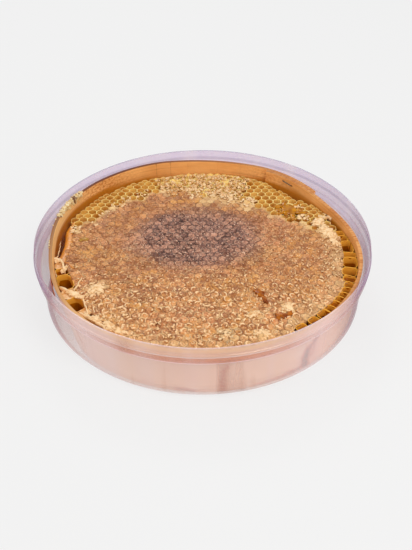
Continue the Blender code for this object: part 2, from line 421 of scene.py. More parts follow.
def bandOf(face):
    centre = face.calc_center_median()
    outside = centre.xy.length > tub["rimRadius"] - 0.3 * mm
    if centre.z > tub["height"] - 0.5 * mm:
        return "lip"
    if outside and -0.1 * mm < centre.z - tub["beadFoot"] < 1.2 * mm:
        return "bead"
    if abs(centre.z - tub["stepHeight"]) < 1.4 * mm:
        return "step"
    if centre.z > tub["beadFoot"]:
        return "rim"
    if centre.z > tub["stepHeight"]:
        return "low"
    if centre.z < tub["fillet"] and 0.2 < abs(face.normal.z) < 0.97:
        return "foot"
    return "wall"


def makeTub():
    bm = bmesh.new()
    rail = [bm.verts.new(point) for point in tubProfile()]
    edges = [bm.edges.new(pair) for pair in zip(rail, rail[1:])]
    bmesh.ops.spin(bm, geom=rail + edges, axis=(0, 0, 1), cent=(0, 0, 0), angle=math.tau,
                   steps=tub["turnSteps"], use_merge=True)
    bmesh.ops.remove_doubles(bm, verts=bm.verts, dist=0.01 * mm)
    bm.normal_update()
    names = list(tubFinishes)
    for face in bm.faces:
        face.material_index = names.index(bandOf(face))
    materials = [clearPlastic(name, *finish) for name, finish in tubFinishes.items()]
    newPiece("tubShell", bm, materials, "clear_tub", sharp=50)


# bent wooden hoop

hoop = {
    "columns": 420,
    "rows": 16,
    "crackAngles": (143.7, 135, 110, 103.9, 96.6, 128, 84, 74, 46, 24),
    "crackStrength": (0.5, 1.0, 1.0, 0.9, 0.35, 0.3, 0.3, 0.4, 0.4, 0.4),
    "crackWidth": 0.35 * mm,
    "crackDepth": 0.3 * mm,
    "waviness": 0.35 * mm,
    "corner": 0.3 * mm,
    # swells of each shade: direction, strength or height, half-width
    "paler": ((-132, 0.7, 26), (-58, 0.3, 18)),
    "soaked": ((136, 1.0, 14), (60, 0.5, 12)),
    "soakedTop": ((10, 0.9, 60),),
    # painted shade on the inner face above the comb: how high it reaches, how it fades and drops
    "gapShade": ((44, 3.0 * mm, 36), (140, 3.0 * mm, 24)),
    "gapShadeFade": 1.5 * mm,
    "gapShadeDrop": 0.4 * mm,
    # painted light on the inner face at the left, above the painted shade
    "paintedBright": ((172, 0.95, 32),),
    "innerLight": (252, 186, 112),
    "innerDark": (230, 158, 86),
    # the outer face's colours are lighter than the inner face's: partly the wood's own tone, partly painted
    # light for the face that lies behind the clear wall
    "outerLight": (255, 206, 172),
    "bleached": (255, 232, 216),
    "innerPaintedLight": (255, 208, 140),
    # colour of the painted shade above the comb
    "gapShadeColour": (198, 120, 20),
    "outerDark": (244, 180, 140),
    "grainLine": (160, 92, 40),
    "edgeDark": (112, 60, 32),
    "stain": (212, 96, 44),
    "darkStain": (74, 22, 20),
    "syrup": (190, 98, 30),
}

# stains on the outer face: points of direction and height in mm, half-width in mm, strength
hoopStains = (
    (((-83, 23), (-83.6, 14), (-83.2, 3)), 2.6, 0.42), (((-81.8, 25), (-83.4, 21)), 1.8, 0.45),
    (((-98, 4), (-93, 2)), 2.2, 0.75), (((-48.9, 27), (-50.5, 23), (-52.6, 19)), 1.8, 0.85),
    (((-52.6, 19), (-53.3, 14), (-53.4, 9), (-52.7, 4)), 3.1, 1), (((-49.5, 20), (-50.5, 10)), 1.8, 0.45),
    (((-53, 5), (-59.5, 3), (-66, 3), (-72, 2.5)), 1.5, 0.75), (((-68.2, 14.4), (-68.4, 13.6)), 0.8, 0.7),
    (((-66.6, 9), (-67, 8.8)), 0.9, 0.6), (((-62.6, 11.8), (-62.9, 11.4)), 0.9, 0.6),
    (((-59.6, 6), (-61, 5)), 1.4, 0.6), (((-111.2, 16.5), (-111.4, 16)), 0.8, 0.5),
    (((-109.4, 7.4), (-109.6, 7)), 0.8, 0.5), (((-138.9, 24), (-137.6, 19), (-135.9, 13)), 1.4, 0.3),
)


def stripColumns():
    turn = (360 + hoopShape["innerEnd"] - hoopShape["outerEnd"]) / hoop["columns"]
    columns = [(hoopShape["innerEnd"] - turn * step, 0.0) for step in range(hoop["columns"] + 1)]
    halfWidth = math.degrees(hoop["crackWidth"] / hoopShape["radius"]) / 2
    for crack, strength in zip(hoop["crackAngles"], hoop["crackStrength"]):
        # the strip's own angle runs on past -180 at the back
        own = crack if crack < hoopShape["outerEnd"] else crack - 360
        columns = [entry for entry in columns if abs(entry[0] - own) > 2.5 * halfWidth]
        columns += [(own - halfWidth, 0.0), (own, strength), (own + halfWidth, 0.0)]
    return sorted(columns, reverse=True)


def stainAt(angle, height):
    # how near it is to each stain's path, measured along the strip in millimetres
    perDegree = math.radians(hoopShape["radius"] / mm)
    spot = Vector((((angle + 180) % 360 - 180) * perDegree, height / mm))
    strongest = 0.0
    for path, halfWidth, strength in hoopStains:
        points = [Vector((direction * perDegree, level)) for direction, level in path]
        for start, end in zip(points, points[1:]):
            run = end - start
            share = min(max((spot - start).dot(run) / run.length_squared, 0.0), 1.0)
            apart = (spot - start - run * share).length
            strongest = max(strongest, strength * math.exp(-(apart / halfWidth) ** 2))
    return strongest


def hoopWood():
    look = Look("bentWood", 0.55, 0.04, 0.35, 0.2)
    flat = look.node("ShaderNodeCombineXYZ", "Vector", {"X": "along", "Y": "up"})
    grain = look.noise(1.0, 5.0, (12, 620, 1), flat)
    fine = look.noise(1.0, 4.0, (50, 2600, 1), flat)
    cloud = look.ramp(look.noise(1.0, 3.0, (38, 90, 1), flat), 0.35, 0.68)
    speck = look.noise(1.0, 3.0, (500, 700, 1), flat)
    inner = look.mix(cloud, hoop["innerLight"], hoop["innerDark"])
    # the inner face turns lighter where the wood is paler and where light is painted at the left
    inner = look.mix("bleached", inner, hoop["innerPaintedLight"])
    outer = look.mix(cloud, hoop["outerLight"], hoop["outerDark"])
    outer = look.mix("bleached", outer, hoop["bleached"])
    stained = look.times("stain", look.ramp(speck, 0.30, 0.62, 0.45, 1.25))
    colour = look.paint(
        look.mix("outer", inner, outer),
        (look.times("soaked", look.ramp(speck, 0.42, 0.62, 0.0, 0.75)), hoop["syrup"]),
        (look.ramp(grain, 0.52, 0.74, 0.0, 0.38), hoop["grainLine"]),
        (look.ramp(fine, 0.56, 0.80, 0.0, 0.30), hoop["grainLine"]),
        ("edge", hoop["edgeDark"]),
        (look.ramp(stained, 0.06, 0.45, 0.0, 0.9), hoop["stain"]),
        (look.ramp(stained, 0.50, 0.90, 0.0, 0.9), hoop["darkStain"]),
        ("crack", hoop["edgeDark"]),
        # painted shade on the inner face just above the comb
        ("gapShade", hoop["gapShadeColour"]),
    )
    return look.finish(colour, look.add(grain, fine), 0.35, 0.2 * mm)


def makeHoop():
    bm = bmesh.new()
    columns = stripColumns()
    rows = hoop["rows"]
    bmesh.ops.create_grid(bm, x_segments=len(columns) - 1, y_segments=rows, size=1.0)
    layers = layersOf(bm, ("along", "up", "crack", "edge", "stain", "outer", "soaked", "bleached", "gapShade"))
    for vert in bm.verts:
        column = round((vert.co.x + 1) / 2 * (len(columns) - 1))
        angle, crack = columns[column]
        up = (vert.co.y + 1) / 2
        drift = noise.noise(Vector((angle * 0.05, 0, 3)))
        height = hoopBottom(angle) + (hoopShape["height"] + hoop["waviness"] * drift) * up
        radius = hoopTopRadius(angle) - lapInset(angle) - hoopLean(angle) * (1 - up)
        put(vert, layers, along=math.radians(angle) * hoopShape["radius"], up=hoopShape["height"] * up,
            crack=0.75 * crack * smoothStep((up - 0.1 - 0.4 * abs(drift)) / 0.3),
            outer=1.0, stain=stainAt(angle, height),
            bleached=swellsAt(hoop["paler"], angle))
        vert.co = polar(angle, radius, height)
    inner = bmesh.ops.extrude_face_region(bm, geom=bm.faces[:], use_keep_orig=True)
    for vert in newVerts(inner):
        angle = angleOf(vert.co)
        groove = hoop["crackDepth"] * vert[layers["crack"]]
        vert.co.xy -= vert.co.xy.normalized() * (hoopShape["strip"] - groove)
        put(vert, layers, stain=0.0, outer=0.0, soaked=swellsAt(hoop["soaked"], angle))
    bmesh.ops.recalc_face_normals(bm, faces=bm.faces)
    corners = [edge for edge in bm.edges if len(edge.link_faces) == 2 and edge.calc_face_angle(0) > 1.0]
    bmesh.ops.bevel(bm, geom=corners, offset=hoop["corner"], offset_type="OFFSET", segments=2, profile=0.5,
                    affect="EDGES", material=-1)
    bm.normal_update()
    for vert in bm.verts:
        angle = angleOf(vert.co)
        upright = smoothStep((abs(vert.normal.z) - 0.3) / 0.5)
        vert[layers["edge"]] = upright * (0.12 + 0.88 * swell(angle, 130, 74))
        if vert[layers["outer"]] < 0.5:
            # painted shade: the inner face is darkened to a honey brown just above the comb, in the gap
            # between them
            above = vert.co.z - combHeight(vert.co.xy)
            reach = swellsAt(hoop["gapShade"], angle) - hoop["gapShadeDrop"]
            vert[layers["gapShade"]] = 0.95 * smoothStep((reach - above) / hoop["gapShadeFade"])
            # painted light: the inner face at the left is made lighter above the painted shade
            clear = smoothStep((above - reach + 0.5 * mm) / hoop["gapShadeFade"])
            paintedBright = clear * swellsAt(hoop["paintedBright"], angle)
            vert[layers["bleached"]] = max(vert[layers["bleached"]], paintedBright)
        vert[layers["outer"]] *= 1 - 0.9 * upright
        vert[layers["soaked"]] = max(vert[layers["soaked"]], upright * swellsAt(hoop["soakedTop"], angle))
    newPiece("hoopStrip", bm, [hoopWood()], "wood_hoop", sharp=40)


# splinter that has sprung away from the hoop, and the scraps of wax on its top edge

splinter = {
    "start": 196,
    "end": 211,
    "height": 12 * mm,
    "thick": 0.9 * mm,
    "spread": 2.6 * mm,
    "root": 1.2 * mm,
    "belowTop": 1.2 * mm,
    "segments": 10,
}

# scraps of wax: direction, half-length, half-height, how far it hangs down inside, in degrees and mm
scraps = (
    (163.5, 2, 0.9, 0.6), (161, 2.4, 1.2, 1), (158.6, 2.8, 1.4, 1.8), (156, 2.8, 1.7, 3),
    (153.6, 3, 1.5, 3.8), (151.2, 2.8, 1.9, 4.4), (149, 2.4, 1.5, 3.4), (147, 2, 1.1, 2),
)

# crumbs on the hoop's top edge: direction, half-length, half-height
crumbs = (
    (166.5, 0.7, 0.5), (170.5, 0.5, 0.4), (180.4, 0.8, 0.6), (181.6, 0.5, 0.8), (183.2, 0.9, 0.6),
    (184.6, 0.5, 0.5),
)


def makeSplinter():
    bm = bmesh.new()
    bmesh.ops.create_cube(bm, size=1.0)
    bmesh.ops.subdivide_edges(bm, edges=edgesAlongX(bm, 0.5), cuts=splinter["segments"], use_grid_fill=True)
    layers = layersOf(bm, ("along", "up", "edge", "stain"))
    for vert in bm.verts:
        along = vert.co.x + 0.5
        angle = splinter["start"] + (splinter["end"] - splinter["start"]) * along
        top = hoopBottom(angle) + hoopShape["height"] - splinter["belowTop"]
        ragged = 0.12 * noise.noise(Vector((along * 6, vert.co.z * 2, 1)))
        height = top - splinter["height"] * (0.5 - vert.co.z + ragged) * (1 - 0.75 * along)
        radius = hoopTopRadius(angle) - splinter["root"] + splinter["spread"] * along ** 0.8
        vert.co = polar(angle, radius + splinter["thick"] * vert.co.y * (1 - 0.6 * along), height)
        put(vert, layers, along=math.radians(angle) * hoopShape["radius"], up=height, edge=0.85, stain=0.25)
    newPiece("hoopSplinter", bm, [bpy.data.materials["bentWood"]], sharp=0)


def scrapWax():
    look = Look("scrapWax", 0.45, 0.15, 0.3)
    lump = look.noise(420, 3.0)
    holeShade = look.noise(230, 1.0)
    colour = look.mix(look.ramp(lump, 0.35, 0.65), (214, 170, 96), (250, 232, 186))
    # painted shade: dark spots stand for small holes in the scraps
    colour = look.mix(look.ramp(holeShade, 0.60, 0.66, 0.0, 0.9), colour, (120, 70, 30))
    return look.finish(colour, lump, 0.6, 0.5 * mm)


def makeScraps():
    bm = bmesh.new()
    perMm = math.degrees(mm / hoopShape["radius"])
    for centre, halfLength, halfHeight, hang in scraps:
        top = hoopBottom(centre) + hoopShape["height"]
        for vert in ball(bm, 4):
            way = vert.co.copy()
            size = 1 + 0.7 * noiseAt(way, 1.8, x=centre) + 0.25 * noiseAt(way, 5, y=centre)
            angle = centre + halfLength * perMm * way.x * size
            radius = hoopTopRadius(angle) + hoopShape["strip"] * (0.85 * way.y * size - 0.6)
            height = top + halfHeight * mm * way.z * size
            if way.y < 0 and way.z < 0:
                # it runs down the hoop's inner face
                height += hang * mm * way.z * -way.y * 1.6
            vert.co = polar(angle, radius, height)
    for centre, halfLength, halfHeight in crumbs:
        top = hoopBottom(centre) + hoopShape["height"]
        for vert in ball(bm, 2):
            size = 1 + 0.8 * noiseAt(vert.co, 1.5, x=centre)
            angle = centre + halfLength * perMm * vert.co.x * size
            radius = hoopTopRadius(angle) + 0.6 * mm * vert.co.y * size
            vert.co = polar(angle, radius, top + halfHeight * mm * vert.co.z * size)
    newPiece("waxScraps", bm, [scrapWax()])


# comb

comb = {
    "cornerJitter": 0.42 * mm,
    "heightJitter": 0.16 * mm,
    "borderDrop": 0.30 * mm,
    "capRings": (0.484 * mm, 0.55 * mm, 0.66 * mm),
    "cellRings": (0.33 * mm, 0.088 * mm, 0.11 * mm, 0.176 * mm),
    "cellLevels": (0.0, 0.08, 0.45, 1.0),
    "cellDepths": (0.0, 0.80, 0.95, 1.0),
    "capRise": (0.20 * mm, 0.65 * mm),
    "capShares": (0.35, 0.8, 1.0),
    "capTilt": 0.15,
    "sunkShare": 0.3,
    "sunkDrop": 0.35 * mm,
    "crumple": 0.42 * mm,
    "openDepth": 7 * mm,
    "raggedDepth": 1.7 * mm,
    "tornDepth": 2.0 * mm,
    "openGolden": (0.75, 1.0),
    "raggedGolden": (0.05, 0.5),
    "mouthTilt": 0.2,
    "mouthRound": 0.55,
    "looseCorners": 2.2,
    "raggedSpan": (73, 112),
    "torn": (Vector((0.064, 0.046)), 11 * mm, 7.5 * mm),
    "brood": (Vector((-0.006, 0.011)), 44 * mm, 35 * mm),
    "capLight": (226, 154, 104),
    "capGolden": (222, 156, 76),
    "capDark": (158, 96, 50),
    "groove": (106, 48, 10),
    # pale ridge colours, used also for painted highlights on the caps' rims and curls
    "ridge": (255, 216, 158),
    "broodLight": (202, 144, 116),
    "broodDark": (98, 56, 44),
    "broodGroove": (34, 16, 16),
    "broodRidge": (224, 180, 154),
    "pale": (244, 206, 146),
    "wax": (255, 224, 142),
    "honey": (196, 120, 6),
    "honeyPale": (232, 180, 84),
    "side": (176, 106, 28),
}

# where the open cells begin: direction, and distance from the middle in mm
openMargin = (
    (13, 99), (15, 90), (17, 82), (23, 77.5), (26, 69), (33, 67), (41, 66.5), (47, 68), (55, 65), (62, 67),
    (70, 66), (82, 65), (94, 66), (99, 70), (103, 78), (108, 79.5), (115, 80), (121, 77), (129, 77.5),
    (132, 80), (140, 80), (145, 83.5), (153, 86.5), (159, 87), (164, 91), (168, 97),
)

# patches of pale capping: centre and radius in mm
palePatches = (
    (-69, -44, 7), (91, 16, 9), (82, 26, 8), (32, -72, 5), (54, -65, 6), (16, -90, 7), (37, -90, 5),
    (-90, 20, 5), (4, 58, 7), (18, 58, 8), (32, 54, 8), (-30, 71, 5), (-46, 62, 4), (-66, 48, 4),
    (52, 38, 4), (74, 26, 6),
)


def cellCentres():
    pitch = combShape["pitch"]
    rowPitch = pitch * math.sqrt(3) / 2
    reach = int(combShape["radius"] / pitch) + 4
    centres = []
    for row in range(-reach - 3, reach + 4):
        for column in range(-reach, reach + 1):
            flat = Vector((pitch * (column + (row % 2) / 2), rowPitch * row))
            if widen(flat).length + pitch * 0.28 < combRadius(angleOf(flat)):
                centres.append(flat)
    return centres


def withinEllipse(place, centre, halfX, halfY):
    return Vector(((place.x - centre.x) / halfX, (place.y - centre.y) / halfY)).length


def openFrom(angle):
    if openMargin[0][0] <= angle < openMargin[-1][0]:
        return distanceOn(openMargin, angle)
    return combShape["radius"] * 2


def cellKind(place):
    if withinEllipse(place, *comb["torn"]) < 1:
        return "torn"
    angle = angleOf(place)
    if place.length < openFrom(angle):
        return "capped"
    first, last = comb["raggedSpan"]
    return "ragged" if first < angle < last else "open"


def broodShade(place):
    apart = withinEllipse(place, *comb["brood"]) + 0.16 * flatNoise(place, 45)
    return smoothStep((1.30 - apart) / 0.60)


def paleShade(place):
    pale = 0
    ragged = 0.5 * flatNoise(place, 160, 0.1)
    for x, y, radius in palePatches:
        apart = (place - Vector((x, y)) * mm).length / (radius * mm)
        pale = max(pale, 0.8 * smoothStep((1.15 - apart + ragged) / 0.6))
    # a faint pale band where the caps end, and along the right and front margins
    angle = angleOf(place)
    past = openFrom(angle) - place.length
    fleck = smoothStep((flatNoise(place, 190, 0.3) - 0.05) / 0.3)
    if 0 < past < 7 * mm and angle > 10:
        pale = max(pale, 0.5 * fleck * (1 - past / (7 * mm)))
    if inSector(angle, -50, 78):
        pale = max(pale, 0.55 * (1 - smoothStep(insideEdge(place) / (18 * mm))))
    return pale


def waxMaterial():
    look = Look("combWax", 0.5, 0.08, 0.2, 0.3)
    blotch = look.noise(700)
    patch = look.noise(110)
    where = look.noise(240, 2.0)
    # fine blotches lighten and darken the caps: partly random tone, partly painted light and shade of the
    # crumples
    tone = look.add("tone", look.ramp(blotch, 0.3, 0.7, -0.55, 0.55))
    tone = look.ramp(look.add(tone, look.ramp(patch, 0.35, 0.65, -0.22, 0.22)), 0.0, 1.0)
    hue = look.ramp(look.noise(26, 2.0), 0.35, 0.65, 0.0, 0.7)
    hue = look.add(hue, look.ramp(patch, 0.35, 0.65, -0.2, 0.3))
    capColour = look.mix(tone, comb["capDark"], look.mix(hue, comb["capLight"], comb["capGolden"]))
    broodColour = look.mix(tone, comb["broodDark"], comb["broodLight"])
    grooveColour = look.mix("brood", comb["groove"], comb["broodGroove"])
    ridgeColour = look.mix("brood", comb["ridge"], comb["broodRidge"])

    def curls(field, width, *places):
        # thin curls where a noise passes its middle value
        apart = look.maths("ABSOLUTE", look.maths("SUBTRACT", field, 0.5))
        near = look.times(look.ramp(apart, 0.0, width, 1.0, 0.0), look.ramp(where, *places))
        return look.times(near, "rough")

    # dark curls are painted shade in the creases of the crumpled caps; light curls are pale wax and partly
    # painted highlight
    dents = curls(look.noise(330, 1.0, (1, 1.1, 1.2)), 0.045, 0.40, 0.52, 0.0, 0.70)
    paintedBright = curls(look.noise(420, 1.0), 0.035, 0.44, 0.56, 0.85, 0.0)
    broken = look.maths("MAXIMUM", look.ramp(where, 0.35, 0.58, 0.95, 0.1), look.times("brood", 0.9))
    honeyTone = look.ramp(look.noise(150, 1.0), 0.42, 0.60)
    honey = look.mix(honeyTone, comb["honey"], comb["honeyPale"])
    colour = look.paint(
        capColour,
        ("brood", broodColour),
        ("pale", comb["pale"]),
        (dents, grooveColour),
        (look.times("groove", broken), grooveColour),
        (paintedBright, ridgeColour),
        # painted highlight on the caps' rims
        ("ridge", ridgeColour),
        ("opened", look.mix("depth", comb["wax"], honey)),
        ("side", comb["side"]),
    )
    return look.finish(colour, look.add(blotch, look.times(paintedBright, 0.5)), 0.5, 0.5 * mm)


def honeyMaterial():
    look = Look("honey", 0.10, 0.6, 0.05)
    return look.finish(look.mix(look.ramp(look.noise(220, 2.0), 0.35, 0.65), (160, 90, 2), (216, 146, 22)))


def combSheet():
    bm = bmesh.new()
    pitch = combShape["pitch"]
    for centre in cellCentres():
        bmesh.ops.create_circle(bm, cap_ends=True, segments=6, radius=pitch / math.sqrt(3),
                                matrix=Matrix.Translation((centre.x, centre.y, 0)))
    bmesh.ops.remove_doubles(bm, verts=bm.verts, dist=0.1 * mm)
    bmesh.ops.subdivide_edges(bm, edges=bm.edges, cuts=1)
    return bm


def dropSkirt(bm, layers, steps=5):
    skirt = [edge for edge in bm.edges if edge.is_boundary]
    for step in range(1, steps + 1):
        made = bmesh.ops.extrude_edge_only(bm, edges=skirt)
        before = 1 - (1 - combShape["footScale"]) * (step - 1) / steps
        scale = 1 - (1 - combShape["footScale"]) / steps / before
        for vert in newVerts(made):
            vert.co.xy *= scale
            vert.co.z -= (vert.co.z - combShape["foot"]) / (steps - step + 1)
            vert[layers["side"]] = 0.75 + 0.25 * step / steps
        skirt = openEdges(made)
    bmesh.ops.edgeloop_fill(bm, edges=skirt)


def roughShade(place):
    right = 0.85 * smoothStep((place.x - 22 * mm) / (30 * mm)) * smoothStep((48 * mm - place.y) / (25 * mm))
    return max(0.30 + 0.70 * smoothStep((48 * mm - place.y) / (55 * mm)), right)


def describeCap(cell):
    centre = cell.calc_center_median().copy()
    place = centre.xy
    brood = broodShade(place)
    pale = paleShade(place)
    front = smoothStep((-place.y - 0.02) / 0.06)
    return {
        "face": cell, "centre": centre, "brood": brood, "pale": pale * random.uniform(0.6, 1.0),
        "tilt": Vector((random.gauss(0, 1), random.gauss(0, 1))) * comb["capTilt"],
        "rise": random.uniform(*comb["capRise"]), "sunk": random.random() < comb["sunkShare"],
        # how high each cap's rim stands, and how bright its painted highlight is
        "ridge": random.uniform(0.0, 0.25) + front * random.uniform(0.05, 0.55) + pale * 0.1,
        "arc": random.uniform(0, math.tau), "tone": min(max(random.gauss(0.42 + 0.12 * front, 0.2), 0), 1),
        "rough": max(roughShade(place), brood),
    }


def shapeCap(vert, cap, share, ring, layers):
    away = vert.co.xy - cap["centre"].xy
    facing = 0.5 + 0.5 * math.cos(math.atan2(away.y, away.x) - cap["arc"])
    height = cap["rise"] * share + away.dot(cap["tilt"])
    height += cap["rough"] * comb["crumple"] * noise.noise(vert.co * 800)
    if cap["sunk"] and ring == 2:
        height -= comb["sunkDrop"]
    lit = 0.0
    # painted highlight on the raised rim, brightest on the side towards a random direction
    if ring == 0:
        height += cap["ridge"] * facing * mm
        lit = min(cap["ridge"] * 1.5 * facing ** 2, 1.0)
    vert.co.z = cap["centre"].z + height
    shades = {name: cap[name] for name in ("tone", "brood", "pale", "rough")}
    put(vert, layers, ridge=lit, groove=0.28 if ring == 0 else 0.0, **shades)


def capCells(bm, layers, cells):
    # each cap: a groove at the border, a ridge, then a low crumpled dome
    caps = [describeCap(cell) for cell in cells]
    for ring, (thickness, share) in enumerate(zip(comb["capRings"], comb["capShares"])):
        bmesh.ops.inset_individual(bm, faces=cells, thickness=thickness)
        for cap in caps:
            for vert in cap["face"].verts:
                shapeCap(vert, cap, share, ring, layers)
    bmesh.ops.poke(bm, faces=cells)


def openCells(bm, layers, cells, kinds):
    # each open cell: a thin crest, a wall that goes down, honey or the cell's base at the bottom
    holes = []
    for cell, kind in zip(cells, kinds):
        depth = comb["openDepth"] * random.uniform(0.5, 1.0)
        golden = random.uniform(*comb["openGolden"])
        if kind == "ragged":
            depth = comb["raggedDepth"] * random.uniform(0.3, 1.3)
            golden = random.uniform(*comb["raggedGolden"])
        if kind == "torn":
            depth = comb["tornDepth"]
        holes.append((cell, cell.calc_center_median().copy(), depth, golden))
    for ring, thickness in enumerate(comb["cellRings"]):
        bmesh.ops.inset_individual(bm, faces=cells, thickness=thickness)
        for cell, centre, depth, golden in holes:
            radius = sum((vert.co.xy - centre.xy).length for vert in cell.verts) / len(cell.verts)
            for vert in cell.verts:
                away = vert.co.xy - centre.xy
                rounder = away.lerp(away.normalized() * radius, 0 if ring else comb["mouthRound"])
                vert.co.xy = centre.xy + rounder
                vert.co.z = centre.z - depth * comb["cellLevels"][ring]
                if ring < 2:
                    # the mouths lean a little towards the front
                    vert.co.z += (vert.co.y - centre.y) * comb["mouthTilt"]
                put(vert, layers, depth=comb["cellDepths"][ring] * golden, opened=1.0)
    for cell, centre, depth, golden in holes:
        cell.material_index = 1 if golden > 0.5 else 0
    bmesh.ops.poke(bm, faces=cells, offset=-0.3 * mm)


def placeCorner(vert, layers):
    # a corner of the flat sheet goes to its widened place and height
    place = widen(vert.co.xy)
    kind = cellKind(place)
    loose = comb["looseCorners"] if kind in ("ragged", "torn") else 1.0
    if len(vert.link_edges) < 3:
        loose *= 0.4
    atEdge = any(edge.is_boundary for edge in vert.link_edges)
    place += Vector((random.uniform(-1, 1), random.uniform(-1, 1))) * comb["cornerJitter"] * loose
    if atEdge and (inSector(angleOf(place), -90, 36) or nearestCells(angleOf(place))):
        place *= combRadius(angleOf(place)) / place.length
    limit = combRadius(angleOf(place))
    if place.length > limit:
        place *= limit / place.length
    height = combHeight(place) + random.uniform(-1, 1) * comb["heightJitter"] * loose * 1.5
    if kind == "ragged":
        height += random.uniform(-1.0, 0.5) * mm
    if kind == "torn":
        height -= random.uniform(0.5, 2.5) * mm
    if kind == "capped":
        height -= comb["borderDrop"]
    vert.co = Vector((place.x, place.y, height))
    brood = broodShade(place)
    put(vert, layers, groove=0.9, tone=0.3, brood=brood, pale=0.5 * paleShade(place),
        rough=max(roughShade(place), brood))


def makeComb():
    bm = combSheet()
    layers = layersOf(bm, ("tone", "brood", "pale", "groove", "ridge", "depth", "opened", "side", "rough"))
    for vert in bm.verts:
        placeCorner(vert, layers)
    cells = bm.faces[:]
    kinds = {cell: cellKind(cell.calc_center_median().xy) for cell in cells}
    opened = [cell for cell in cells if kinds[cell] in ("open", "ragged", "torn")]
    capped = [cell for cell in cells if kinds[cell] == "capped"]
    for cell in opened:
        for vert in cell.verts:
            shared = any(kinds[face] == "capped" for face in vert.link_faces)
            put(vert, layers, opened=0.25 if shared else 1.0, groove=0.2 if shared else 0.0)
    dropSkirt(bm, layers)
    openCells(bm, layers, opened, [kinds[cell] for cell in opened])
    capCells(bm, layers, capped)
    newPiece("combBody", bm, [waxMaterial(), honeyMaterial()], "honeycomb")


# golden cells in rows between comb and hoop

# each one: directions of its two sides, depth in mm, how golden it is
goldenCells = (
    (9.2, 12.6, 6, 1), (5.4, 9.2, 7, 0.8), (-2.6, 5.4, 10, 1), (-6, -2.6, 8, 0.8), (-12.6, -6, 10, 1),
    (-17.6, -12.6, 10, 1), (-21.4, -17.6, 3, 0.7), (-24.6, -21.4, 5, 0.8), (-27.7, -24.6, 6, 1),
    (-30.6, -27.7, 6, 1), (-33.6, -30.6, 7, 1), (-37, -33.6, 3, 0.5), (-40.4, -37, 5, 0.7),
    (-44.8, -40.2, 8, 1), (-49.6, -45.6, 7, 1), (-55.6, -51.4, 6, 0.9), (-139.2, -135.4, 0.8, 0.2),
    (-147.4, -139.2, 10, 1), (-152.8, -147.4, 0.8, 0.1), (-162, -152.8, 10, 1), (-166.4, -162, 4, 0.5),
    (-170, -166.4, 0.8, 0.2),
)

goldenCell = {
    "corners": 20,
    "square": 0.62,
    "wall": 0.40 * mm,
    "combGap": 0.3 * mm,
    "hoopGap": 0.35 * mm,
    "unevenness": 0.6 * mm,
    "skirt": 4 * mm,
    "skirtTaper": 0.12,
    "levels": ((0.05, 0.97), (0.35, 0.96), (0.75, 0.90), (1.0, 0.70)),  # share of the depth, narrowing
    "crest": (244, 182, 70),
    "top": (192, 108, 0),
    "deep": (134, 72, 0),
}


def goldenWax():
    look = Look("goldenWax", 0.30, 0.03, 0.12, 0.08)
    golden = look.add("depth", look.ramp(look.noise(300, 2.0), 0.3, 0.7, -0.2, 0.2))
    colour = look.mix(look.ramp(golden, 0.15, 0.9), goldenCell["top"], goldenCell["deep"])
    return look.finish(look.mix("crest", colour, goldenCell["crest"]))


def keepInsideHoop(co, margin=0.25 * mm):
    # nothing on the comb pushes through the hoop
    limit = hoopInnerRadius(angleOf(co), co.z) - margin
    if co.xy.length > limit:
        co.xy *= limit / co.xy.length


def squared(value):
    return math.copysign(abs(value) ** goldenCell["square"], value)


def addGoldenCell(bm, layers, first, last, depth, golden):
    made = bmesh.ops.create_circle(bm, cap_ends=True, segments=goldenCell["corners"], radius=1.0)
    face = next(iter(made["verts"][0].link_faces))
    # a shallow one is filled with pale wax
    face.material_index = 1 if depth < 1 else 0
    depth *= mm
    middle = (first + last) / 2
    near = nearestCells(middle) - goldenCell["combGap"]
    level = combHeight(polar(middle, near, 0).xy)
    far = hoopInnerRadius(middle, level) - goldenCell["hoopGap"]
    for vert in made["verts"]:
        angle = middle + (last - first) / 2 * squared(vert.co.x) * 0.985
        radius = (near + far) / 2 + (far - near) / 2 * squared(vert.co.y)
        vert.co = polar(angle, radius, level)
        vert.co.z += goldenCell["unevenness"] * noise.noise(vert.co * 300)
        vert[layers["crest"]] = 1.0
    bmesh.ops.inset_individual(bm, faces=[face], thickness=goldenCell["wall"])
    border = [edge for edge in bm.edges if edge.is_boundary]
    for vert in face.verts:
        vert[layers["crest"]] = 1.0
    centre = face.calc_center_median()
    for share, width in goldenCell["levels"]:
        face = bmesh.ops.extrude_discrete_faces(bm, faces=[face])["faces"][0]
        here = face.calc_center_median()
        for vert in face.verts:
            vert.co.xy = centre.xy + (vert.co.xy - here.xy) * width
            vert.co.z = centre.z - depth * share
            put(vert, layers, crest=0.0, depth=golden * (0.25 + 0.75 * share))
    skirt = bmesh.ops.extrude_edge_only(bm, edges=border)
    for vert in newVerts(skirt):
        vert.co.z -= depth + goldenCell["skirt"]
        vert.co.xy += (centre.xy - vert.co.xy) * goldenCell["skirtTaper"]
        put(vert, layers, crest=0.0, depth=golden)
    bmesh.ops.edgeloop_fill(bm, edges=openEdges(skirt))


def makeGoldenCells():
    bm = bmesh.new()
    layers = layersOf(bm, ("depth", "crest", "high"))
    for cell in goldenCells:
        addGoldenCell(bm, layers, *cell)
    for vert in bm.verts:
        keepInsideHoop(vert.co)
        vert[layers["high"]] = 0.35 + 0.9 * noise.noise(vert.co * 260)
    newPiece("goldenCells", bm, [goldenWax(), paleWax()], sharp=50)


# torn wax: walls that stand up and shelves that lie flat, both lumpy, all in millimetres

torn = {
    "step": 1.1,
    "wander": 0.5,
}

